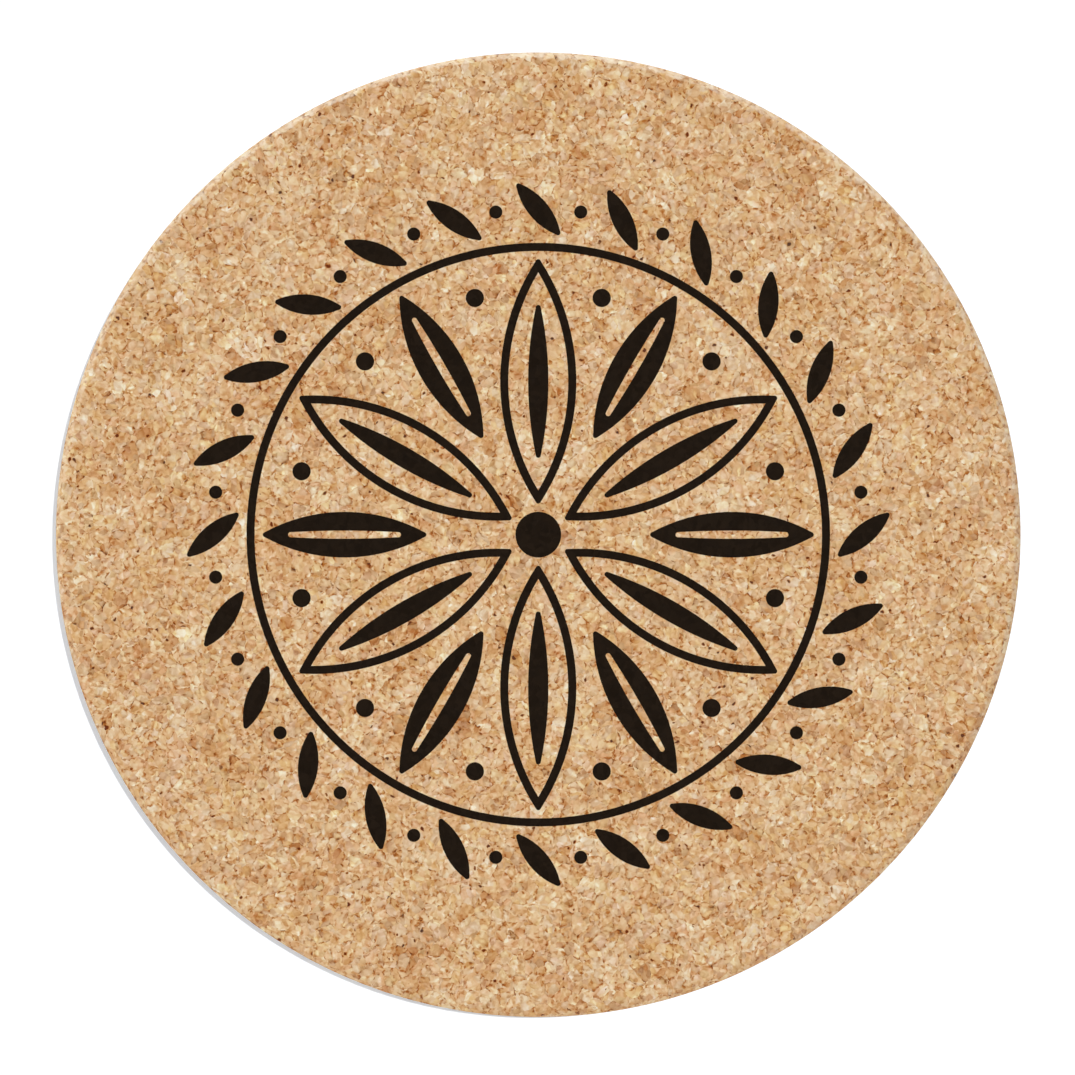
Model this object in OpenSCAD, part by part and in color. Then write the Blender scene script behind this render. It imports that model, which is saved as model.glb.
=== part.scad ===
// Round cork trivet: a slab of pressed cork with bevelled edges, and a leaf rosette printed on its top face.
// Lengths are in millimetres. The slab stands on z = 0, centred on the z axis, with the print facing +z.

/* [Cork slab] */
// Diameter of the slab
slab_d = 190; // [160:1:240]
// Thickness of the slab
slab_t = 10; // [5:0.5:20]
// Width of the bevelled edges, top and bottom, which are as high as they are wide
bevel_w = 1.2; // [0.4:0.1:2.4]

/* [Ink] */
// Diameter of the whole print
print_d = 138; // [130:1:150]
// Depth that the ink soaks into the cork
ink_depth = 0.1; // [0.05:0.01:0.3]
// Width of a printed line
line_w = 1.6; // [1:0.1:2.4]
// Radius of the round tips of the printed leaves
tip_r = 0.5; // [0.2:0.1:0.6]
// Bare cork on each side of the ring, and round the hub
bare_gap = 1.6; // [1:0.1:2.4]

/* [Border] */
// Number of leaves in the border
border_count = 24; // [18:1:28]
// Width of the band that the border leaves fill, along the radius
border_w = 10; // [8:0.5:12]
// Width of one border leaf
border_leaf_w = 4; // [3:0.1:5.4]
// Lean of the border leaves from the radius, in degrees
border_lean = 40; // [25:1:45]
// Diameter of the dots between the border leaves
border_dot_d = 2.6; // [1.6:0.1:3.2]

/* [Rosette] */
// Number of petals, with one sprig leaf after each
petal_count = 6; // [5:1:7]
// Width of a petal over its printed outline
petal_w = 15; // [12:0.5:17]
// Width of the solid heart inside a petal
heart_w = 4; // [3:0.5:6]
// Distance from a petal's tips to those of its heart
heart_inset = 9; // [7:0.5:12]
// Radius at which the sprig leaves begin
sprig_start_r = 22; // [19:0.5:28]
// Width of a sprig leaf
sprig_w = 9; // [8:0.5:12]
// Width of the bare vein down the middle of a sprig leaf
vein_w = 1.6; // [1.3:0.1:2.4]
// Distance from a sprig leaf's tips to those of its vein
vein_inset = 5; // [3:0.5:8]
// Diameter of the seed dots between petals and sprig leaves
seed_d = 3.6; // [2:0.1:4.5]
// Distance from the tips of the petals in to the centres of the seed dots
seed_inset = 6; // [4:0.5:8]
// Diameter of the hub dot
hub_d = 9; // [6:0.5:12]

/* [Hidden] */

cork_colour = [0.82, 0.66, 0.49];
ink_colour = [0.12, 0.094, 0.07];

// How far a cut runs past the face that it opens
overrun = 1;
// How far the round tip of a leaf stands out past the arcs that run into it
tip_overlap = 0.01;
// The first petal points along +y
first_petal_deg = 90;
$fn = 360;

// Radii that the print is laid out on, from the outside in
print_r = print_d / 2;
border_mid_r = print_r - border_w / 2;
ring_outer_r = print_r - border_w - bare_gap;
ring_inner_r = ring_outer_r - line_w;
rosette_r = ring_inner_r - bare_gap;
seed_r = rosette_r - seed_inset;
petal_start_r = hub_d / 2 + bare_gap;

// Radius of the circle at a leaf's tip that its arcs touch
touch_r = tip_r - tip_overlap;

// Lengths that follow from the radii of the layout
petal_l = rosette_r - petal_start_r;
heart_l = petal_l - 2 * heart_inset;
sprig_l = rosette_r - sprig_start_r;
vein_l = sprig_l - 2 * vein_inset;
border_leaf_l = border_w / cos(border_lean);

// Angles between neighbours
petal_step_deg = 360 / petal_count;
border_step_deg = 360 / border_count;

// Radius of a leaf's two arcs, which run into its round tips
function leaf_arc_r(l, w) =
    (pow(l / 2 - tip_r, 2) + w * w / 4 - touch_r * touch_r) / (w - 2 * touch_r);

// Copies of a shape round the z axis, the first of them turned by start_deg
module around(count, start_deg) {
    for (i = [0 : count - 1])
        rotate(start_deg + i * 360 / count)
            children();
}

// Leaf along +x from the origin, between two arcs that run into a small round tip at each end
module leaf(l, w) {
    tip_x = l / 2 - tip_r;
    arc_r = leaf_arc_r(l, w);
    arc_y = arc_r - w / 2;
    meet_x = tip_x * arc_r / (arc_r - touch_r);
    translate([l / 2, 0]) {
        intersection() {
            translate([0, arc_y]) circle(arc_r);
            translate([0, -arc_y]) circle(arc_r);
            square([2 * meet_x, w], center = true);
        }
        for (side = [-1, 1])
            translate([side * tip_x, 0]) circle(tip_r);
    }
}

// What a printed line of even width leaves bare inside such a leaf: the same two arcs, drawn in
module leaf_inside(l, w, inset) {
    arc_r = leaf_arc_r(l, w);
    arc_y = arc_r - w / 2;
    translate([l / 2, 0])
        intersection() {
            translate([0, arc_y]) circle(arc_r - inset);
            translate([0, -arc_y]) circle(arc_r - inset);
        }
}

// Flat shapes of the print, which the ink and its seats in the cork share

module hub_shape() {
    circle(d = hub_d);
}

module petal_shapes() {
    around(petal_count, first_petal_deg)
        translate([petal_start_r, 0])
            difference() {
                leaf(petal_l, petal_w);
                leaf_inside(petal_l, petal_w, line_w);
            }
}

module heart_shapes() {
    around(petal_count, first_petal_deg)
        translate([petal_start_r + heart_inset, 0])
            leaf(heart_l, heart_w);
}

module sprig_shapes() {
    around(petal_count, first_petal_deg + petal_step_deg / 2)
        translate([sprig_start_r, 0])
            difference() {
                leaf(sprig_l, sprig_w);
                translate([vein_inset, 0]) leaf(vein_l, vein_w);
            }
}

module seed_shapes() {
    around(2 * petal_count, first_petal_deg + petal_step_deg / 4)
        translate([seed_r, 0])
            circle(d = seed_d);
}

module ring_shape() {
    difference() {
        circle(ring_outer_r);
        circle(ring_inner_r);
    }
}

module border_leaf_shapes() {
    around(border_count, first_petal_deg)
        translate([border_mid_r, 0])
            rotate(border_lean)
                translate([-border_leaf_l / 2, 0])
                    leaf(border_leaf_l, border_leaf_w);
}

module border_dot_shapes() {
    around(border_count, first_petal_deg + border_step_deg / 2)
        translate([border_mid_r, 0])
            circle(d = border_dot_d);
}

module print_shapes() {
    hub_shape();
    petal_shapes();
    heart_shapes();
    sprig_shapes();
    seed_shapes();
    ring_shape();
    border_leaf_shapes();
    border_dot_shapes();
}

// Ink film, flush with the top face of the cork
module ink() {
    color(ink_colour)
        translate([0, 0, slab_t - ink_depth])
            linear_extrude(ink_depth)
                children();
}

// Half section of the slab, with a bevelled corner at the top and at the bottom
module slab_section() {
    rim_r = slab_d / 2;
    flat_r = rim_r - bevel_w;
    polygon([
        [0, 0], [flat_r, 0], [rim_r, bevel_w],
        [rim_r, slab_t - bevel_w], [flat_r, slab_t], [0, slab_t]
    ]);
}

module cork_disc() {
    color(cork_colour)
        difference() {
            rotate_extrude()
                slab_section();
            translate([0, 0, slab_t - ink_depth])
                linear_extrude(ink_depth + overrun)
                    print_shapes();
        }
}

module ink_hub() {
    ink() hub_shape();
}

module ink_petals() {
    ink() petal_shapes();
}

module ink_hearts() {
    ink() heart_shapes();
}

module ink_sprigs() {
    ink() sprig_shapes();
}

module ink_seeds() {
    ink() seed_shapes();
}

module ink_ring() {
    ink() ring_shape();
}

module ink_border_leaves() {
    ink() border_leaf_shapes();
}

module ink_border_dots() {
    ink() border_dot_shapes();
}

cork_disc();
ink_hub();
ink_petals();
ink_hearts();
ink_sprigs();
ink_seeds();
ink_ring();
ink_border_leaves();
ink_border_dots();
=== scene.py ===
"""Round cork trivet, dressed for the render: pressed granules, bevelled edges and a printed leaf rosette.

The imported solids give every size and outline. The slab and the ink films are rebuilt on them as fine
meshes, and one granule field, laid out in the solids' own frame, gives both their relief and their colour.
"""

import logging
import math
from dataclasses import dataclass
from enum import Enum
from typing import Any, Sequence

import bmesh
import bpy
import numpy as np
from mathutils import Color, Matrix, Vector, geometry, kdtree


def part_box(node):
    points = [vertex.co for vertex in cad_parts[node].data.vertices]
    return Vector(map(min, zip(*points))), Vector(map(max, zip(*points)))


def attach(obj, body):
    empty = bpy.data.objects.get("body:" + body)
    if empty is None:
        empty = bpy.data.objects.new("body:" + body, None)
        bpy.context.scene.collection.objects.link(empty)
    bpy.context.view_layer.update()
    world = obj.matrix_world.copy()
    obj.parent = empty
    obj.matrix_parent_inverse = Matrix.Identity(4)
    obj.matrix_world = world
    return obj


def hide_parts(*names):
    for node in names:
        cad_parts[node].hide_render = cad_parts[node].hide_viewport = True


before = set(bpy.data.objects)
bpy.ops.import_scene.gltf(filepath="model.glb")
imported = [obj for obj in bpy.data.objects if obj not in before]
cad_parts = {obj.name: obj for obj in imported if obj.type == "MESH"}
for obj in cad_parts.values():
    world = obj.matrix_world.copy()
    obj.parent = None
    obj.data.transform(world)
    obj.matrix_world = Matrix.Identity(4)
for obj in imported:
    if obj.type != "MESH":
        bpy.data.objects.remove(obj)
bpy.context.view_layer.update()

LOG = logging.getLogger("trivet")
MM = 0.001
SLAB_NODE = "cork_disc"
INK_NODES = sorted(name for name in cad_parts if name.startswith("ink_"))

Colour = tuple[float, float, float, float]
Socket = bpy.types.NodeSocket
Value = Socket | float | tuple[float, ...]
Stops = tuple[tuple[float, float], ...]
WHITE: Colour = (1.0, 1.0, 1.0, 1.0)


@dataclass(frozen=True)
class Paint:
    """A colour as a screen shows it, each level from 0 to 255."""

    red: int
    green: int
    blue: int

    TOP_LEVEL = 255
    LIGHT_SHARES = (0.299, 0.587, 0.114)

    @property
    def levels(self) -> Vector:
        """The three levels, from 0 to 1."""
        return Vector((self.red, self.green, self.blue)) / self.TOP_LEVEL

    @property
    def linear(self) -> Colour:
        """The linear colour that shaders take, with full opacity."""
        return (*Color(self.levels).from_srgb_to_scene_linear(), 1.0)

    @property
    def lightness(self) -> float:
        """How light the colour looks, from 0 to 1."""
        return self.levels.dot(self.LIGHT_SHARES)


class Join(Enum):
    """How a maths node joins its two numbers."""

    PLUS = "ADD"
    MINUS = "SUBTRACT"
    TIMES = "MULTIPLY"
    LEAST = "MINIMUM"
    MOST = "MAXIMUM"


class Cell(Enum):
    """What a cell texture gives: each cell's own values, sharp or blurred, or the way to its edge."""

    SHARP = "F1"
    BLURRED = "SMOOTH_F1"
    EDGE = "DISTANCE_TO_EDGE"


class NodeBench:
    """Lays nodes into one tree, for a material or for geometry alike, and wires them by socket."""

    MIDDLE = (0.5, 0.5, 0.5)

    def __init__(self, tree: bpy.types.NodeTree) -> None:
        """Take the tree to work on, and empty it."""
        self.tree = tree
        tree.nodes.clear()

    def put(self, kind: str, inputs: dict[Any, Value] | None = None, **settings: Any) -> bpy.types.Node:
        """Add one node.

        Args:
            kind: The node's type name.
            inputs: What each input gets, by its name or place: a socket to be wired, or a plain value.
            **settings: The node's own settings.

        Returns:
            The new node.
        """
        node = self.tree.nodes.new(kind)
        for name, setting in settings.items():
            setattr(node, name, setting)
        for key, value in (inputs or {}).items():
            if isinstance(value, Socket):
                self.tree.links.new(value, node.inputs[key])
            else:
                node.inputs[key].default_value = value
        return node

    def join(self, how: Join, first: Value, second: Value) -> Socket:
        """Join two numbers and return the result's socket."""
        return self.put("ShaderNodeMath", {0: first, 1: second}, operation=how.value).outputs[0]

    def fade(self, value: Value, start: Value, end: Value, low: Value = 0.0, high: Value = 1.0) -> Socket:
        """Run smoothly from one level to another as a value passes from start to end.

        Args:
            value: The value that is watched.
            start: Where the change begins.
            end: Where it is over.
            low: The level at the start.
            high: The level at the end.

        Returns:
            The socket with the level.
        """
        inputs = {0: value, 1: start, 2: end, 3: low, 4: high}
        return self.put("ShaderNodeMapRange", inputs, interpolation_type="SMOOTHSTEP").outputs[0]

    def between(self, share: Value, first: Value, second: Value) -> Socket:
        """Mix two numbers: the first at share 0, the second at 1."""
        return self.put("ShaderNodeMix", {0: share, 2: first, 3: second}, data_type="FLOAT").outputs[0]

    def tint(self, share: Value, first: Value, second: Value, how: str = "MIX") -> Socket:
        """Mix two colours: the first at share 0, the second laid over it in the given way at 1."""
        inputs = {0: share, 6: first, 7: second}
        return self.put("ShaderNodeMix", inputs, data_type="RGBA", blend_type=how).outputs[2]

    def scaled(self, vector: Value, factor: Value) -> Socket:
        """Multiply a vector by one number."""
        return self.put("ShaderNodeVectorMath", {0: vector, 3: factor}, operation="SCALE").outputs[0]

    def moved(self, vector: Value, step: Value) -> Socket:
        """Add two vectors."""
        return self.put("ShaderNodeVectorMath", {0: vector, 1: step}, operation="ADD").outputs[0]

    def apart(self, end: Value, start: Value) -> Socket:
        """Give the step from one vector to another."""
        return self.put("ShaderNodeVectorMath", {0: end, 1: start}, operation="SUBTRACT").outputs[0]

    def along(self, vector: Value, way: Value) -> Socket:
        """Measure a vector along another one."""
        inputs = {0: vector, 1: way}
        return self.put("ShaderNodeVectorMath", inputs, operation="DOT_PRODUCT").outputs["Value"]

    def stretched(self, vector: Value, turn: Value, factors: tuple[float, float, float]) -> Socket:
        """Turn a vector round the z axis and stretch it.

        Args:
            vector: The vector.
            turn: How far it turns, as a share of a full turn.
            factors: What its three parts are then multiplied by.

        Returns:
            The socket with the new vector.
        """
        inputs = {"Vector": vector, "Angle": self.join(Join.TIMES, turn, math.tau)}
        turned = self.put("ShaderNodeVectorRotate", inputs, rotation_type="Z_AXIS").outputs[0]
        return self.put("ShaderNodeVectorMath", {0: turned, 1: factors}, operation="MULTIPLY").outputs[0]

    def parts(self, vector: Value) -> Sequence[Socket]:
        """Split a vector, or a colour, into its three numbers."""
        return self.put("ShaderNodeSeparateXYZ", {0: vector}).outputs

    def cells(self, point: Value, size: float, feature: Cell, blur: float = 0.0) -> bpy.types.Node:
        """Fill space with cells about one size across, their borders blurred where that is the feature."""
        inputs = {"Vector": point, "Scale": 1 / size, "Randomness": 1.0}
        if feature is Cell.BLURRED:
            inputs["Smoothness"] = blur
        return self.put("ShaderNodeTexVoronoi", inputs, voronoi_dimensions="3D", feature=feature.value)

    def cloud(self, point: Value, size: float, detail: float = 1.0) -> bpy.types.Node:
        """Fill space with soft noise whose lumps are about one size across."""
        return self.put("ShaderNodeTexNoise", {"Vector": point, "Scale": 1 / size, "Detail": detail})

    def slope(self, point: Value, centre: Value, numbers: Value) -> Socket:
        """Measure how far a point is from a centre, along the way that three numbers from 0 to 1 give."""
        return self.along(self.apart(point, centre), self.apart(numbers, self.MIDDLE))

    def stirred(self, point: Value, size: float, reach: float, detail: float) -> Socket:
        """Move a point about by soft noise, by no more than reach each way."""
        noise = self.cloud(point, size, detail).outputs["Color"]
        return self.moved(point, self.scaled(self.apart(noise, self.MIDDLE), 2 * reach))

    def ramp(self, value: Value, stops: Sequence[tuple[float, Colour]]) -> Socket:
        """Turn a number into a colour that passes through the given stops."""
        node = self.put("ShaderNodeValToRGB", {0: value})
        elements = node.color_ramp.elements
        while len(elements) < len(stops):
            elements.new(1.0)
        for element, (place, colour) in zip(elements, stops):
            element.position = place
            element.color = colour
        return node.outputs[0]

    def curve(self, value: Value, stops: Stops) -> Socket:
        """Turn a number into another that passes through the given stops, all from 0 to 1."""
        return self.ramp(value, [(place, (level, level, level, 1.0)) for place, level in stops])

    def surface(self, colour: Value, roughness: Value, gloss: float, height: Value, depth: float) -> None:
        """Close a material's tree with an opaque surface.

        Args:
            colour: Its colour.
            roughness: Its roughness.
            gloss: How strongly it reflects, as a specular level.
            height: Its finest relief, about 1 from top to bottom.
            depth: How deep that relief is, in millimetres.
        """
        bump = self.put("ShaderNodeBump", {"Strength": 1.0, "Distance": depth * MM, "Height": height})
        inputs = {
            "Base Color": colour,
            "Roughness": roughness,
            "Specular IOR Level": gloss,
            "Normal": bump.outputs[0],
        }
        shader = self.put("ShaderNodeBsdfPrincipled", inputs)
        self.put("ShaderNodeOutputMaterial", {"Surface": shader.outputs[0]})


@dataclass(frozen=True)
class SlabSize:
    """The slab's sizes, read from its solid, in millimetres."""

    radius: float
    flat_radius: float
    height: float
    seat: float

    LEVEL_GAP = 0.001

    @classmethod
    def read(cls) -> "SlabSize":
        """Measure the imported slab, and the ink that its seats take."""
        low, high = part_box(SLAB_NODE)
        corners = [vertex.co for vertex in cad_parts[SLAB_NODE].data.vertices]
        foot = [math.hypot(c.x, c.y) for c in corners if c.z < low.z + cls.LEVEL_GAP * MM]
        inks = [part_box(name) for name in INK_NODES]
        seat = max(top.z - bottom.z for bottom, top in inks)
        return cls(high.x / MM, max(foot) / MM, high.z / MM, seat / MM)

    @property
    def bevel(self) -> float:
        """Width of the bevelled edges, which are as high as they are wide."""
        return self.radius - self.flat_radius


@dataclass(frozen=True)
class Grain:
    """Sockets that describe the cork at one point, each from 0 to 1 unless it says otherwise."""

    point: Socket
    """Where the point is, in millimetres."""
    coarse: Socket
    """A number of its coarse granule's own."""
    fine: Socket
    """A number of its fine granule's own."""
    crumb: Socket
    """A number of its crumb's own."""
    hue: Socket
    """Another number of its granules' own, for their hue."""
    age: Socket
    """A third number of its granules' own, for their age."""
    slope: Socket
    """How far the point is towards one side of its fine granule, from about -0.3 to 0.3."""
    gap: Socket
    """How near the point is to the edge of its fine granule, where that is loose."""
    seam: Socket
    """How far the point is into a nook, where the seams of two sizes of granules cross."""
    pit: Socket
    """How far the point is into a pit or a bit of bark."""


@dataclass(frozen=True)
class GranuleField:
    """Pressed cork granules all through the slab, in three sizes that overlap. Sizes are in millimetres.

    The smaller granules are flakes, which every coarse granule turns its own way. The ragged and frayed
    values bend all their borders. Gaps are loose edges, seams are nooks, and pits hold bits of bark.
    """

    coarse: float = 2.5
    fine: float = 1.32
    crumb: float = 0.8
    blur: float = 0.3
    crumb_blur: float = 0.48
    coarse_say: float = 0.3
    flake: tuple[float, float, float] = (0.88, 1.16, 1.0)
    ragged: float = 0.6
    ragged_size: float = 3.2
    ragged_detail: float = 3.0
    frayed: float = 0.25
    frayed_size: float = 0.7
    frayed_detail: float = 1.0
    gap_width: float = 0.5
    gap_run: float = 2.2
    gap_start: float = 0.36
    gap_full: float = 0.6
    seam_width: float = 0.55
    cross_width: float = 0.6
    seam_run: float = 1.0
    seam_start: float = 0.5
    seam_full: float = 0.68
    pit_space: float = 2.0
    pit_share: float = 0.4
    pit_least: float = 0.02
    pit_radius: float = 0.5
    pit_core_share: float = 0.35
    elsewhere: tuple[float, float, float] = (17.0, 31.0, 53.0)

    def lay(self, bench: NodeBench, place: Socket) -> Grain:
        """Build the field's nodes.

        Args:
            bench: The tree to build in.
            place: The point to describe, in metres.

        Returns:
            The sockets that describe it.
        """
        point = bench.scaled(place, 1 / MM)
        bent = bench.stirred(point, self.ragged_size, self.ragged, self.ragged_detail)
        bent = bench.stirred(bent, self.frayed_size, self.frayed, self.frayed_detail)
        coarse = bench.parts(bench.cells(bent, self.coarse, Cell.SHARP).outputs["Color"])
        aside = bench.moved(bench.stretched(bent, coarse[1], self.flake), self.elsewhere)
        further = bench.moved(aside, self.elsewhere)

        granule = bench.cells(aside, self.fine, Cell.BLURRED, self.blur).outputs
        fine = bench.parts(granule["Color"])
        slope = bench.slope(aside, granule["Position"], granule["Color"])
        slope = bench.join(Join.TIMES, slope, 1 / self.fine)
        bits = bench.cells(further, self.crumb, Cell.BLURRED, self.crumb_blur).outputs
        crumb = bench.parts(bits["Color"])

        edge = bench.cells(aside, self.fine, Cell.EDGE).outputs["Distance"]
        loose = bench.fade(bench.cloud(aside, self.gap_run).outputs[0], self.gap_start, self.gap_full)
        gap = bench.fade(edge, 0.0, self.gap_width / self.fine, loose, 0.0)
        broken = bench.cloud(further, self.seam_run).outputs[0]
        openness = bench.fade(broken, self.seam_start, self.seam_full)
        crossing = bench.cells(bent, self.coarse, Cell.EDGE).outputs["Distance"]
        openness = bench.fade(crossing, 0.0, self.cross_width / self.coarse, openness, 0.0)
        seam = bench.fade(edge, 0.0, self.seam_width / self.fine, openness, 0.0)

        bark = bench.cells(further, self.pit_space, Cell.SHARP)
        chance = bench.parts(bark.outputs["Color"])[0]
        radii = (self.pit_least / self.pit_space, self.pit_radius / self.pit_space)
        radius = bench.fade(chance, 1 - self.pit_share, 1.0, *radii)
        core = bench.join(Join.TIMES, radius, self.pit_core_share)
        pit = bench.fade(bark.outputs["Distance"], core, radius, 1.0, 0.0)
        hue, age = (bench.between(self.coarse_say, fine[part], coarse[part]) for part in (1, 2))
        return Grain(point, coarse[0], fine[0], crumb[0], hue, age, slope, gap, seam, pit)


@dataclass(frozen=True)
class Tone:
    """How a granule's own number makes it lighter or darker."""

    swing: float
    """How much lightness lies between the shades 0 and 1."""
    shades: Stops
    """The shade at each number: 0.5 leaves the ground's lightness as it is."""

    NEUTRAL = 0.5

    def step(self, bench: NodeBench, number: Socket) -> Socket:
        """Give the lightness that a number adds."""
        off = bench.join(Join.MINUS, bench.curve(number, self.shades), self.NEUTRAL)
        return bench.join(Join.TIMES, off, self.swing)


@dataclass(frozen=True)
class Tint:
    """How a granule's own number gives it a tint."""

    colour: Colour
    """What the granule's colour is multiplied by."""
    start: float
    """The number at which the tint begins."""
    full: float
    """The number at which it is full."""

    def lay(self, bench: NodeBench, colour: Socket, number: Socket) -> Socket:
        """Give the tinted colour."""
        return bench.tint(bench.fade(number, self.start, self.full), colour, self.colour, "MULTIPLY")


@dataclass(frozen=True)
class CorkFinish:
    """Sanded cork: granules from bark brown to ivory, each with painted shading across it as a tilted
    facet, dark bark in the pits, painted shade in the gaps and seams, and pale edges that are partly worn
    and partly a painted highlight on the side towards the low light.

    A granule's lightness picks its colour from two rows, ruddy and ashen, which its age mixes. Its hue then
    tints it pink or golden.
    """

    field: GranuleField
    size: SlabSize
    slot: str = "cork"
    ruddy: tuple[Paint, ...] = (
        Paint(106, 44, 12),
        Paint(172, 103, 45),
        Paint(204, 155, 103),
        Paint(217, 175, 128),
        Paint(230, 203, 161),
        Paint(243, 232, 206),
    )
    ashen: tuple[Paint, ...] = (
        Paint(86, 58, 44),
        Paint(160, 109, 64),
        Paint(196, 157, 117),
        Paint(211, 177, 140),
        Paint(226, 203, 172),
        Paint(240, 232, 215),
    )
    ash_from: float = 0.3
    ash_full: float = 0.95
    # The pale edge colour and the fields below stand for worn cork and also for a painted highlight: the
    # band is palest on the side towards the low light and keeps only a small share on the far side.
    worn_and_sheen: Paint = Paint(232, 210, 184)
    wear_sheen_least: float = 0.02
    wear_sheen_most: float = 0.6
    wear_sheen_size: float = 1.5
    wear_sheen_detail: float = 2.0
    wear_sheen_wander: float = 0.4
    wear_sheen_from: float = -0.4
    wear_sheen_full: float = 0.05
    wear_sheen_down: float = 0.6
    sheen_turn: float = 75.0
    unlit_side_share: float = 0.1
    ground: float = 0.765
    coarse: Tone = Tone(
        0.31,
        ((0, 0.1), (0.06, 0.38), (0.3, 0.47), (0.88, 0.53), (0.95, 0.64), (1, 0.72)),
    )
    fine: Tone = Tone(
        0.295,
        ((0, 0.1), (0.1, 0.33), (0.4, 0.47), (0.7, 0.54), (0.92, 0.6), (0.97, 0.68), (1, 0.74)),
    )
    crumb: Tone = Tone(
        0.335,
        ((0, 0), (0.08, 0.22), (0.25, 0.44), (0.75, 0.53), (0.95, 0.64), (1, 0.75)),
    )
    # Painted shading: each fine granule is lighter on one side and darker on the other, as a tilted facet
    # would look, each turned its own way.
    slope: float = 0.16
    speckle: Tone = Tone(0.06, ((0, 0), (1, 1)))
    speckle_size: float = 0.5
    speckle_detail: float = 1.0
    mottle: Tone = Tone(0.165, ((0, 0), (1, 1)))
    mottle_size: float = 11.0
    # Gaps and seams are darkened as painted shade between the granules; pits are darkened by the bark in
    # them.
    gap_painted_shade: float = 0.06
    seam_painted_shade: float = 0.33
    pit_dark: float = 0.62
    pink: Tint = Tint((1.0, 0.92, 0.94, 1.0), 0.5, 0.95)
    golden: Tint = Tint((1.0, 0.985, 0.81, 1.0), 0.5, 0.05)
    hue_size: float = 8.0
    hue_calm: tuple[float, float] = (0.3, 0.7)
    hue_drift: float = 0.15
    smoothest: float = 0.85
    roughest: float = 0.95
    calm: tuple[float, float] = (0.3, 0.7)
    gloss: float = 0.15
    bump_depth: float = 0.045
    speckle_height: float = 0.5

    def lightness(self, bench: NodeBench, grain: Grain, speckle: Socket) -> Socket:
        """Give the lightness at a point.

        Args:
            bench: The tree to build in.
            grain: The cork there.
            speckle: The finest noise there.

        Returns:
            The socket with the lightness, from 0 to 1.
        """
        mottle = bench.cloud(grain.point, self.mottle_size).outputs[0]
        light = bench.join(Join.PLUS, self.ground, self.mottle.step(bench, mottle))
        # Painted shading across each fine granule, as if it were a tilted facet.
        light = bench.join(Join.PLUS, light, bench.join(Join.TIMES, grain.slope, self.slope))
        for tone, number in (
            (self.coarse, grain.coarse),
            (self.fine, grain.fine),
            (self.crumb, grain.crumb),
            (self.speckle, speckle),
        ):
            light = bench.join(Join.PLUS, light, tone.step(bench, number))
        # Painted shade in the loose gaps and the nooks between granules, and the dark bark in the pits.
        for share, dark in (
            (grain.gap, self.gap_painted_shade),
            (grain.seam, self.seam_painted_shade),
            (grain.pit, self.pit_dark),
        ):
            light = bench.join(Join.MINUS, light, bench.join(Join.TIMES, share, dark))
        return light

    def wear_and_sheen(self, bench: NodeBench, point: Socket) -> Socket:
        """Give the share of pale cork on the bevels and a little of the wall: worn cork, with a painted
        highlight that makes it more on the side the low light falls on.

        Args:
            bench: The tree to build in.
            point: Where to look, in millimetres.

        Returns:
            The socket with the share.
        """
        half = self.size.height / 2
        across, along, height = bench.parts(point)
        flat = bench.put("ShaderNodeCombineXYZ", {0: across, 1: along}).outputs[0]
        reach = bench.put("ShaderNodeVectorMath", {0: flat}, operation="LENGTH").outputs["Value"]
        level = bench.join(Join.MINUS, height, half)
        rise = bench.put("ShaderNodeMath", {0: level}, operation="ABSOLUTE").outputs[0]
        out = bench.join(Join.MINUS, reach, self.size.flat_radius)
        up = bench.join(Join.MINUS, rise, half - self.size.bevel - self.wear_sheen_down)
        corner = bench.join(Join.LEAST, out, up)
        patch = bench.fade(bench.cloud(point, self.wear_sheen_size, self.wear_sheen_detail).outputs[0], *self.calm)
        wander = bench.join(Join.TIMES, bench.join(Join.MINUS, patch, 1.0), self.wear_sheen_wander)
        # Painted highlight: the pale band is strongest on the side that faces the low light and weakest on
        # the far side.
        turn = math.radians(self.sheen_turn)
        towards = bench.along(flat, (math.cos(turn), math.sin(turn), 0.0))
        used = bench.fade(towards, -self.size.radius, self.size.radius, self.unlit_side_share, 1.0)
        most = bench.join(Join.TIMES, used, bench.between(patch, self.wear_sheen_least, self.wear_sheen_most))
        return bench.fade(bench.join(Join.PLUS, corner, wander), self.wear_sheen_from, self.wear_sheen_full, 0.0, most)

    def material(self) -> bpy.types.Material:
        """Make the material."""
        material, bench = start_material("cork")
        grain = self.field.lay(bench, bench.put("ShaderNodeTexCoord").outputs["Object"])
        speckle = bench.cloud(grain.point, self.speckle_size, self.speckle_detail).outputs[0]
        light = self.lightness(bench, grain, speckle)
        ruddy, ashen = (
            bench.ramp(light, [(paint.lightness, paint.linear) for paint in paints])
            for paints in (self.ruddy, self.ashen)
        )
        colour = bench.tint(bench.fade(grain.age, self.ash_from, self.ash_full), ruddy, ashen)
        drift = bench.fade(bench.cloud(grain.point, self.hue_size).outputs[0], *self.hue_calm)
        hue = bench.between(self.hue_drift, grain.hue, drift)
        for tint in (self.pink, self.golden):
            colour = tint.lay(bench, colour, hue)
        # Pale edges: worn cork, plus a painted highlight on the side towards the low light.
        colour = bench.tint(self.wear_and_sheen(bench, grain.point), colour, self.worn_and_sheen.linear)
        height = bench.join(Join.TIMES, speckle, self.speckle_height)
        for hollow in (grain.seam, grain.pit):
            height = bench.join(Join.MINUS, height, hollow)
        roughness = bench.fade(speckle, *self.calm, self.smoothest, self.roughest)
        bench.surface(colour, roughness, self.gloss, height, self.bump_depth)
        return material


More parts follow.
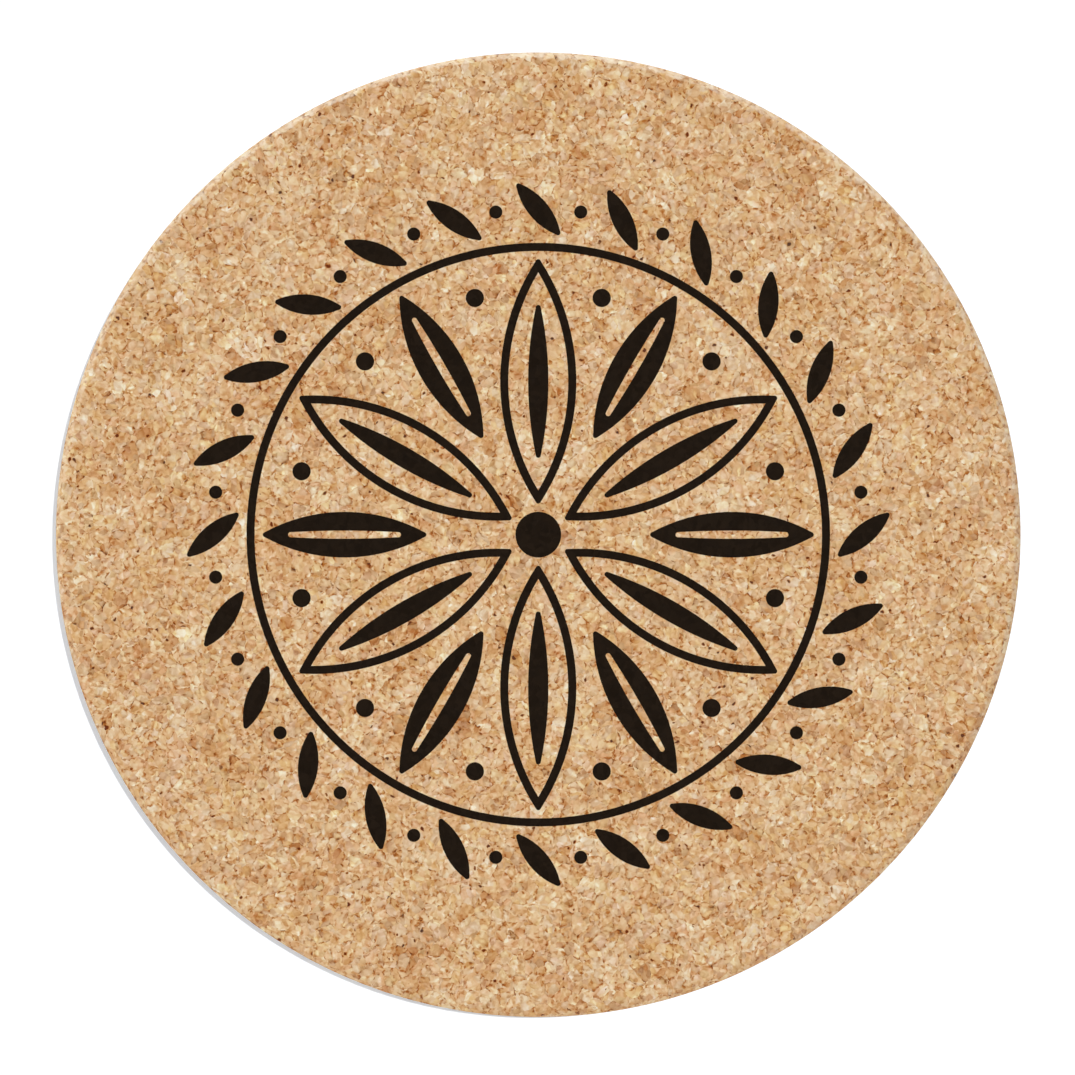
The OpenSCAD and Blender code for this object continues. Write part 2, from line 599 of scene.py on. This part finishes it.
@dataclass(frozen=True)
class InkFinish:
    """Warm black printing ink, matte, with the cork's grain faintly in it."""

    field: GranuleField
    slot: str = "ink"
    black: Paint = Paint(14, 7, 2)
    faded: Paint = Paint(38, 28, 19)
    grain_share: float = 0.4
    mottle_size: float = 1.6
    mottle_detail: float = 2.0
    mottle_height: float = 0.3
    smoothest: float = 0.7
    roughest: float = 0.85
    calm: tuple[float, float] = (0.3, 0.7)
    gloss: float = 0.04
    bump_depth: float = 0.05

    def material(self) -> bpy.types.Material:
        """Make the material."""
        material, bench = start_material("ink")
        grain = self.field.lay(bench, bench.put("ShaderNodeTexCoord").outputs["Object"])
        mottle = bench.cloud(grain.point, self.mottle_size, self.mottle_detail).outputs[0]
        share = bench.between(self.grain_share, mottle, grain.fine)
        colour = bench.tint(share, self.black.linear, self.faded.linear)
        height = bench.join(Join.MINUS, bench.join(Join.TIMES, mottle, self.mottle_height), grain.seam)
        roughness = bench.fade(mottle, *self.calm, self.smoothest, self.roughest)
        bench.surface(colour, roughness, self.gloss, height, self.bump_depth)
        return material


def start_material(name: str) -> tuple[bpy.types.Material, NodeBench]:
    """Make an empty material.

    Args:
        name: Its name.

    Returns:
        The material, and the bench for its tree.
    """
    material = bpy.data.materials.new(name)
    material.use_nodes = True
    return material, NodeBench(material.node_tree)


@dataclass(frozen=True)
class Relief:
    """Geometry tree that sinks a mesh into the granule field. Depths are in millimetres, always inwards."""

    field: GranuleField
    base: float = 0.02
    step: float = 0.06
    groove: float = 0.1
    pit: float = 0.2
    crease: float = 60.0

    SKIN = "skin"
    WAY_OUT = "way_out"
    DEPTHS = {"Base": "base", "Granule step": "step", "Groove": "groove", "Pit": "pit"}

    def tree(self) -> bpy.types.NodeTree:
        """Build the tree, with one named input for each depth."""
        tree = bpy.data.node_groups.new("Cork relief", "GeometryNodeTree")
        bench = NodeBench(tree)
        tree.interface.new_socket("Geometry", in_out="INPUT", socket_type="NodeSocketGeometry")
        for name in self.DEPTHS:
            tree.interface.new_socket(name, in_out="INPUT", socket_type="NodeSocketFloat")
        tree.interface.new_socket("Material", in_out="INPUT", socket_type="NodeSocketMaterial")
        tree.interface.new_socket("Geometry", in_out="OUTPUT", socket_type="NodeSocketGeometry")
        given = bench.put("NodeGroupInput").outputs

        skin, way_out = (
            bench.put("GeometryNodeInputNamedAttribute", {0: name}, data_type="FLOAT_VECTOR").outputs[0]
            for name in (self.SKIN, self.WAY_OUT)
        )
        grain = self.field.lay(bench, skin)
        depth = given["Base"]
        for name, share in (("Granule step", grain.fine), ("Groove", grain.seam), ("Pit", grain.pit)):
            depth = bench.join(Join.PLUS, depth, bench.join(Join.TIMES, given[name], share))
        inwards = bench.scaled(way_out, bench.join(Join.TIMES, depth, -MM))
        sunk = bench.put("GeometryNodeSetPosition", {"Geometry": given["Geometry"], "Offset": inwards})
        real = bench.put("GeometryNodeRealizeInstances", {0: sunk.outputs[0]})
        dressed = {"Geometry": real.outputs[0], "Material": given["Material"]}
        bench.put("NodeGroupOutput", {0: bench.put("GeometryNodeSetMaterial", dressed).outputs[0]})
        return tree

    def press(
        self, piece: bpy.types.Object, tree: bpy.types.NodeTree, material: bpy.types.Material
    ) -> None:
        """Run the tree on a piece and keep the result as its plain mesh.

        Args:
            piece: The object, whose mesh holds the skin and way_out attributes.
            tree: The tree from tree().
            material: What the piece is made of.
        """
        modifier = piece.modifiers.new("relief", "NODES")
        modifier.node_group = tree
        for item in tree.interface.items_tree:
            if item.in_out == "INPUT" and item.name in self.DEPTHS:
                modifier[item.identifier] = getattr(self, self.DEPTHS[item.name])
            elif item.in_out == "INPUT" and item.name == "Material":
                modifier[item.identifier] = material
        bpy.context.view_layer.update()
        seen = piece.evaluated_get(bpy.context.evaluated_depsgraph_get())
        mesh = bpy.data.meshes.new_from_object(seen)
        piece.modifiers.remove(modifier)
        piece.data = mesh
        for name in (self.SKIN, self.WAY_OUT):
            mesh.attributes.remove(mesh.attributes[name])
        mesh.set_sharp_from_angle(angle=math.radians(self.crease))


def edges_of(triangles: np.ndarray) -> set[tuple[int, int]]:
    """List the edges of triangles as they run, each by the numbers of its two points."""
    pairs = np.concatenate([triangles[:, (0, 1)], triangles[:, (1, 2)], triangles[:, (2, 0)]])
    return set(map(tuple, pairs.tolist()))


class Shell:
    """A closed mesh in the making: its points, the skin that each one follows, and its faces."""

    def __init__(self) -> None:
        """Start with nothing."""
        self.points: list[np.ndarray] = []
        self.skins: list[np.ndarray] = []
        self.ways: list[np.ndarray] = []
        self.faces: list[np.ndarray] = []
        self.corners: list[np.ndarray] = []
        self.count = 0

    def add_points(self, points: np.ndarray, skins: np.ndarray, ways: np.ndarray) -> np.ndarray:
        """Add points.

        Args:
            points: Their places.
            skins: The points of the bare surface that they follow.
            ways: The way out of the surface there.

        Returns:
            Their numbers.
        """
        numbers = self.count + np.arange(len(points))
        self.points.append(points)
        self.skins.append(skins)
        self.ways.append(ways)
        self.count += len(points)
        return numbers

    def add_faces(self, faces: np.ndarray, corners: np.ndarray | None = None) -> None:
        """Add triangles.

        Args:
            faces: The numbers of their points.
            corners: Where each of their corners lies on the flat sheet, where the shell has one.
        """
        self.faces.append(faces)
        if corners is not None:
            self.corners.append(corners)

    def to_object(self, name: str) -> bpy.types.Object:
        """Make an object of the shell, with the skin and the way out as attributes of its points."""
        mesh = bpy.data.meshes.new(name)
        faces = np.concatenate(self.faces).tolist()
        mesh.from_pydata(np.concatenate(self.points), [], faces, shade_flat=False)
        for attribute, rows in ((Relief.SKIN, self.skins), (Relief.WAY_OUT, self.ways)):
            layer = mesh.attributes.new(attribute, "FLOAT_VECTOR", "POINT")
            layer.data.foreach_set("vector", np.concatenate(rows).astype(np.float32).ravel())
        if self.corners:
            sheet = mesh.uv_layers.new(name=FlatSheet.NAME)
            sheet.uv.foreach_set("vector", np.concatenate(self.corners).astype(np.float32).ravel())
        piece = bpy.data.objects.new(name, mesh)
        bpy.context.scene.collection.objects.link(piece)
        return piece


@dataclass(frozen=True)
class FlatSheet:
    """Unit square that the slab's skin is laid out on: top with the side round it, and the underside."""

    margin: float = 0.005
    top_share: float = 0.4
    under_share: float = 0.17

    NAME = "OFBake"
    MIRRORED = (-1.0, 1.0)

    def top(self, flat: np.ndarray, reach: float) -> np.ndarray:
        """Place flattened points of the top and side, which lie within reach of the middle."""
        return self.margin + self.top_share * (1 + flat / reach)

    def under(self, flat: np.ndarray, reach: float) -> np.ndarray:
        """Place points of the underside, which lie within reach of the middle, as they look from below."""
        return 1 - self.margin - self.under_share * (1 - flat * self.MIRRORED / reach)


@dataclass(frozen=True)
class PrintLines:
    """The print's outlines, read from the ink's solids. Lengths are in millimetres."""

    step: float = 0.6
    least: float = 0.15
    merge_gap: float = 0.001
    level_gap: float = 0.01

    def loops(self) -> list[tuple[str, np.ndarray]]:
        """Give every closed outline, with the name of its node."""
        return [(node, self.even(loop)) for node in INK_NODES for loop in self.outlines(node)]

    def outlines(self, node: str) -> list[np.ndarray]:
        """Find the closed outlines of a flat node's top.

        Args:
            node: The node's name.

        Returns:
            Each outline's points in order, counter-clockwise.
        """
        solid = bmesh.new()
        solid.from_mesh(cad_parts[node].data)
        bmesh.ops.remove_doubles(solid, verts=solid.verts, dist=self.merge_gap * MM)
        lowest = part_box(node)[1].z - self.level_gap * MM
        faces = [face for face in solid.faces if all(vertex.co.z > lowest for vertex in face.verts)]
        flat = set(faces)
        follows = {
            corner.vert: corner.link_loop_next.vert
            for face in faces
            for corner in face.loops
            if not any(other in flat for other in corner.edge.link_faces if other is not face)
        }
        loops = []
        while follows:
            here = next(iter(follows))
            loop = []
            while here in follows:
                loop.append(here.co.xy / MM)
                here = follows.pop(here)
            x, y = np.array(loop).T
            turn = np.sum(x * np.roll(y, -1) - np.roll(x, -1) * y)
            loops.append(np.array(loop) if turn > 0 else np.array(loop[::-1]))
        solid.free()
        return loops

    def even(self, loop: np.ndarray) -> np.ndarray:
        """Thin an outline's crowded points and fill its long stretches."""
        kept = [loop[0]]
        for point in loop[1:]:
            if np.linalg.norm(point - kept[-1]) >= self.least:
                kept.append(point)
        filled = []
        for start, end in zip(kept, [*kept[1:], kept[0]]):
            steps = max(1, round(float(np.linalg.norm(end - start)) / self.step))
            filled += [start + (end - start) * step / steps for step in range(steps)]
        return np.array(filled)


@dataclass
class FlatFace:
    """A round flat face in triangles that follow every line drawn on it. Lengths are in millimetres."""

    radius: float
    columns: int
    spacing: float
    loops: Sequence[tuple[str, np.ndarray]] = ()
    clear_share: float = 0.5
    wander_share: float = 0.22
    seed: int = 7

    EVERYTHING = 0
    CUT_GAP = 1e-5

    def __post_init__(self) -> None:
        """Cut the face into triangles and note whose outline, if any, each of them lies in."""
        turns = np.arange(self.columns) * math.tau / self.columns
        rim = self.radius * np.stack([np.cos(turns), np.sin(turns)], axis=1)
        lines = [rim, *(loop for _, loop in self.loops)]
        drawn = np.concatenate(lines)
        starts = np.cumsum([0, *(len(line) for line in lines)])
        rings = [list(range(start, end)) for start, end in zip(starts[1:-1], starts[2:])]
        places = [Vector(place) for place in (*drawn, *self.scatter(drawn))]
        cut = geometry.delaunay_2d_cdt(places, [], rings, self.EVERYTHING, self.CUT_GAP, True)
        self.points = np.array([tuple(point) for point in cut[0]])
        self.triangles = np.array(cut[2])
        self.owners = np.array([self.owner(within) for within in cut[5]])
        LOG.info("flat face: %d points, %d triangles", len(self.points), len(self.triangles))

    def scatter(self, drawn: np.ndarray) -> np.ndarray:
        """Spread points over the face, evenly but not in rows, and clear of the lines.

        Args:
            drawn: The points of the lines.

        Returns:
            The places of the new points.
        """
        chance = np.random.default_rng(self.seed)
        rise = self.spacing * math.sqrt(3) / 2
        rows = int(self.radius / rise) + 1
        steps = int(self.radius / self.spacing) + 2
        row, step = np.meshgrid(np.arange(-rows, rows + 1), np.arange(-steps, steps + 1), indexing="ij")
        places = np.stack([(step + (row % 2) / 2) * self.spacing, row * rise], axis=-1).reshape(-1, 2)
        places += chance.uniform(-1, 1, places.shape) * self.wander_share * self.spacing
        near = kdtree.KDTree(len(drawn))
        for number, place in enumerate(drawn):
            near.insert((*place, 0.0), number)
        near.balance()
        clear = self.clear_share * self.spacing
        inside = places[np.hypot(*places.T) < self.radius]
        return np.array([place for place in inside if near.find((*place, 0.0))[2] > clear])

    def owner(self, within: Sequence[int]) -> str:
        """Say whose lines a triangle lies in, given the numbers of the outlines round it, or nothing."""
        names = [self.loops[ring][0] for ring in within]
        return next((name for name in names if names.count(name) % 2), "")


@dataclass
class CorkSlab:
    """The slab: a flat top with the ink's seats, bevelled edges, a wall and a flat underside, all in mm."""

    size: SlabSize
    sheet: FlatSheet = FlatSheet()
    columns: int = 720
    arris: float = 1.0
    arris_rows: int = 3
    wall_rows: int = 6
    side_share: float = 0.2
    top_spacing: float = 0.72
    under_spacing: float = 1.6

    NAME = "cork_slab"

    def __post_init__(self) -> None:
        """Lay out the section of the side and cut the top along the print."""
        self.section = self.side_section()
        steps = np.diff(self.section[:, :2], axis=0)
        self.flat_radius = self.section[0][0]
        self.along = self.flat_radius + np.cumsum(np.hypot(*steps.T))
        self.reach = self.along[-1]
        self.top = FlatFace(self.flat_radius, self.columns, self.top_spacing, PrintLines().loops())

    def side_section(self) -> np.ndarray:
        """Lay out the side's rows, from the top's rim down to the underside's.

        Returns:
            For each row, its reach from the axis, its height, and how far the skin there faces out and up.
        """
        size = self.size
        lead = self.arris * math.tan(math.pi / 8)
        inner, outer = size.flat_radius - lead, size.radius - self.arris
        upper, lower = size.height - size.bevel - lead, size.bevel + lead
        heights = np.linspace(upper, lower, self.wall_rows + 1)[1:-1]
        wall = np.array([(size.radius, height, 1.0, 0.0) for height in heights])
        edge = [self.arc(inner, size.height - self.arris, 0), self.arc(outer, upper, 1)]
        foot = [self.arc(outer, lower, 2), self.arc(inner, self.arris, 3)]
        return np.concatenate([*edge, wall, *foot])

    def arc(self, reach: float, height: float, start: int) -> np.ndarray:
        """Round one corner of a bevel.

        Args:
            reach: How far from the axis the middle of the arc is.
            height: How high it is.
            start: Where the arc starts, in eighths of a turn from straight up.

        Returns:
            Rows of the side's section.
        """
        tilts = math.pi / 4 * np.linspace(start, start + 1, self.arris_rows + 1)
        out, up = np.sin(tilts), np.cos(tilts)
        return np.column_stack([reach + self.arris * out, height + self.arris * up, out, up])

    def build(self) -> bpy.types.Object:
        """Make the slab's mesh, before its relief."""
        shell = Shell()
        rim = self.add_top(shell)
        rim = self.add_side(shell, rim)
        self.add_underside(shell, rim)
        return shell.to_object(self.NAME)

    def add_top(self, shell: Shell) -> np.ndarray:
        """Add the top, with the floors and walls of the ink's seats.

        Args:
            shell: The mesh in the making.

        Returns:
            The numbers of the rim's points.
        """
        top = self.top
        count = len(top.points)
        flat = self.sheet.top(top.points, self.reach)
        skin = np.column_stack([top.points, np.full(count, self.size.height)]) * MM
        up = np.tile((0.0, 0.0, 1.0), (count, 1))
        surface = shell.add_points(skin, skin, up)
        inked = top.owners != ""
        bare, covered = top.triangles[~inked], top.triangles[inked]
        shell.add_faces(surface[bare], flat[bare])
        seat = np.unique(covered)
        floor = np.zeros(count, int)
        floor[seat] = shell.add_points(skin[seat] - (0.0, 0.0, self.size.seat * MM), skin[seat], up[seat])
        shell.add_faces(floor[covered], flat[covered])
        backwards = edges_of(covered)
        start, end = np.array(sorted((a, b) for a, b in edges_of(bare) if (b, a) in backwards)).T
        for faces, corners in (
            ((surface[end], surface[start], floor[start]), (end, start, start)),
            ((surface[end], floor[start], floor[end]), (end, start, end)),
        ):
            shell.add_faces(np.stack(faces, axis=1), flat[np.stack(corners, axis=1)])
        return surface[:self.columns]

    def add_side(self, shell: Shell, rim: np.ndarray) -> np.ndarray:
        """Add the bevelled edges and the wall.

        Args:
            shell: The mesh in the making.
            rim: The numbers of the points round the top.

        Returns:
            The numbers of the points round the underside.
        """
        turns = np.arange(self.columns) * math.tau / self.columns
        spokes = np.column_stack([np.cos(turns), np.sin(turns)])
        upright = np.ones(self.columns)
        above = rim
        flat_above = self.sheet.top(spokes * self.flat_radius, self.reach)
        for (reach, height, out, up), along in zip(self.section[1:], self.along):
            places = np.column_stack([spokes * reach, upright * height]) * MM
            ways = np.column_stack([spokes * out, upright * up])
            share = self.side_share + (1 - self.side_share) * up ** 2
            below = shell.add_points(places, places, ways * share)
            flat_below = self.sheet.top(spokes * along, self.reach)
            numbers = (above, below, np.roll(above, -1), np.roll(below, -1))
            flats = [flat_above, flat_below]
            flats += [np.roll(flat, -1, axis=0) for flat in flats]
            for rows in ((0, 1, 3), (0, 3, 2)):
                faces = np.stack([numbers[row] for row in rows], axis=1)
                shell.add_faces(faces, np.stack([flats[row] for row in rows], axis=1))
            above, flat_above = below, flat_below
        return above

    def add_underside(self, shell: Shell, rim: np.ndarray) -> None:
        """Close the underside.

        Args:
            shell: The mesh in the making.
            rim: The numbers of the points round it.
        """
        under = FlatFace(self.flat_radius, self.columns, self.under_spacing)
        inner = under.points[self.columns:]
        places = np.column_stack([inner, np.zeros(len(inner))]) * MM
        numbers = shell.add_points(places, places, np.tile((0.0, 0.0, -1.0), (len(inner), 1)))
        index = np.concatenate([rim, numbers])
        turned = under.triangles[:, ::-1]
        shell.add_faces(index[turned], self.sheet.under(under.points, self.flat_radius)[turned])


@dataclass(frozen=True)
class InkFilm:
    """One node's ink: a closed film in the slab's seats."""

    node: str
    depth: float
    """How thick the film is, in millimetres."""

    def build(self, top: FlatFace) -> bpy.types.Object:
        """Make the film's mesh, before its relief.

        Args:
            top: The slab's top, cut along the print.

        Returns:
            The new object.
        """
        shell = Shell()
        used, inverse = np.unique(top.triangles[top.owners == self.node], return_inverse=True)
        faces = inverse.reshape(-1, 3)
        skin = np.column_stack([top.points[used] * MM, np.full(len(used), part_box(self.node)[1].z)])
        up = np.tile((0.0, 0.0, 1.0), (len(used), 1))
        above = shell.add_points(skin, skin, up)
        below = shell.add_points(skin - (0.0, 0.0, self.depth * MM), skin, up)
        shell.add_faces(above[faces])
        shell.add_faces(below[faces[:, ::-1]])
        edges = edges_of(faces)
        start, end = np.array(sorted((a, b) for a, b in edges if (b, a) not in edges)).T
        shell.add_faces(np.stack([above[start], below[start], below[end]], axis=1))
        shell.add_faces(np.stack([above[start], below[end], above[end]], axis=1))
        return shell.to_object(self.node.replace("ink_", "print_"))


@dataclass(frozen=True)
class Studio:
    """A pale floor, soft light and a camera straight above. Lengths are in metres, angles in degrees."""

    size: SlabSize
    floor_side: float = 6.0
    floor_pale: tuple[float, float, float] = (0.85, 0.89, 0.93)
    floor_glow: float = 0.234
    floor_glow_colour: tuple[float, float, float] = (0.76, 0.88, 1.0)
    fill: float = 0.28
    key: float = 0.57
    key_rise: float = 78.8
    key_turn: float = 31.5
    key_angle: float = 1.2
    low: float = 0.73
    low_rise: float = 12.0
    low_turn: float = 120.0
    low_colour: tuple[float, float, float] = (0.68, 0.84, 1.0)
    bounce: float = 0.28
    bounce_rise: float = 12.0
    bounce_turn: float = 238.0
    bounce_colour: tuple[float, float, float] = (1.0, 0.87, 0.7)
    soft_angle: float = 25.0
    lens: float = 200.0
    photo_side: float = 1075.0
    photo_radius: float = 482.55
    photo_centre: tuple[float, float] = (538.27, 534.68)

    def build(self) -> None:
        """Set up the floor, the light and the camera round the slab."""
        scene = bpy.context.scene
        scene.view_settings.view_transform = "Standard"
        self.build_world(scene)
        self.build_floor()
        self.build_sun("key_light", self.key, self.key_rise, self.key_turn, self.key_angle)
        low = self.build_sun("low_light", self.low, self.low_rise, self.low_turn, self.soft_angle)
        low.color = self.low_colour
        low.use_shadow = False
        turn = self.bounce_turn
        bounce = self.build_sun("bounce_light", self.bounce, self.bounce_rise, turn, self.soft_angle)
        bounce.color = self.bounce_colour
        bounce.use_shadow = False
        self.build_camera(scene)

    @staticmethod
    def seen(bench: NodeBench) -> Socket:
        """Give 1 to rays that show the background, straight or mirrored, and 0 to those that light."""
        rays = bench.put("ShaderNodeLightPath").outputs
        mirrored = bench.join(Join.MOST, rays["Is Glossy Ray"], rays["Is Transmission Ray"])
        return bench.join(Join.MOST, rays["Is Camera Ray"], mirrored)

    def build_world(self, scene: bpy.types.Scene) -> None:
        """Make a world that lights from all round and shows white."""
        world = bpy.data.worlds.new("studio")
        world.use_nodes = True
        bench = NodeBench(world.node_tree)
        level = bench.between(self.seen(bench), self.fill, 1.0)
        glow = bench.put("ShaderNodeBackground", {"Color": WHITE, "Strength": level})
        bench.put("ShaderNodeOutputWorld", {"Surface": glow.outputs[0]})
        scene.world = world

    def build_floor(self) -> None:
        """Make the floor, which keeps the shadow."""
        half = self.floor_side / 2
        corners = [(-half, -half, 0.0), (half, -half, 0.0), (half, half, 0.0), (-half, half, 0.0)]
        mesh = bpy.data.meshes.new("floor")
        mesh.from_pydata(corners, [], [(0, 1, 2, 3)])
        floor = bpy.data.objects.new("floor", mesh)
        bpy.context.scene.collection.objects.link(floor)
        material, bench = start_material("floor")
        pale = bench.put("ShaderNodeBsdfDiffuse", {"Color": (*self.floor_pale, 1.0)})
        strength = bench.join(Join.TIMES, self.seen(bench), self.floor_glow)
        glow_colour = (*self.floor_glow_colour, 1.0)
        glow = bench.put("ShaderNodeEmission", {"Color": glow_colour, "Strength": strength})
        both = bench.put("ShaderNodeAddShader", {0: pale.outputs[0], 1: glow.outputs[0]})
        bench.put("ShaderNodeOutputMaterial", {"Surface": both.outputs[0]})
        mesh.materials.append(material)

    @staticmethod
    def build_sun(name: str, level: float, rise: float, turn: float, angle: float) -> bpy.types.Light:
        """Add a light from far off.

        Args:
            name: The light's name.
            level: How bright a white face turned to it looks, where 1 is white.
            rise: How high it stands above the floor.
            turn: Where it stands round the object, from +X.
            angle: How wide it looks.

        Returns:
            The light.
        """
        lamp = bpy.data.lights.new(name, "SUN")
        lamp.energy = level * math.pi
        lamp.angle = math.radians(angle)
        sun = bpy.data.objects.new(name, lamp)
        up, across = math.radians(rise), math.radians(turn)
        towards = Vector((math.cos(up) * math.cos(across), math.cos(up) * math.sin(across), math.sin(up)))
        sun.rotation_mode = "QUATERNION"
        sun.rotation_quaternion = towards.to_track_quat("Z", "Y")
        bpy.context.scene.collection.objects.link(sun)
        return lamp

    def build_camera(self, scene: bpy.types.Scene) -> None:
        """Hang the camera over the slab, which it frames as the photograph does."""
        data = bpy.data.cameras.new("camera")
        data.lens = self.lens
        camera = bpy.data.objects.new("camera", data)
        pixel = self.size.radius * MM / self.photo_radius
        away = self.photo_side * pixel * self.lens / data.sensor_width
        middle = self.photo_side / 2
        across, down = self.photo_centre
        rim = (self.size.height - self.size.bevel) * MM
        camera.location = ((middle - across) * pixel, (down - middle) * pixel, rim + away)
        scene.collection.objects.link(camera)
        scene.camera = camera


def dress(piece: bpy.types.Object, node: str) -> None:
    """Let a finished piece stand for its solid.

    Args:
        piece: The piece.
        node: The node that it replaces.
    """
    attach(piece, "root")
    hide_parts(node)
    LOG.info("%s: %d triangles", piece.name, len(piece.data.polygons))


def main() -> None:
    """Build the trivet piece by piece, then the studio round it."""
    logging.basicConfig(level=logging.INFO, format="%(name)s %(message)s")
    size = SlabSize.read()
    field = GranuleField()
    relief = Relief(field)
    tree = relief.tree()

    cork = CorkFinish(field, size)
    slab = CorkSlab(size)
    piece = slab.build()
    relief.press(piece, tree, cork.material())
    dress(piece, SLAB_NODE)

    ink = InkFinish(field)
    black = ink.material()
    for node in INK_NODES:
        piece = InkFilm(node, size.seat).build(slab.top)
        relief.press(piece, tree, black)
        dress(piece, node)

    Studio(size).build()


if __name__ == "__main__":
    main()
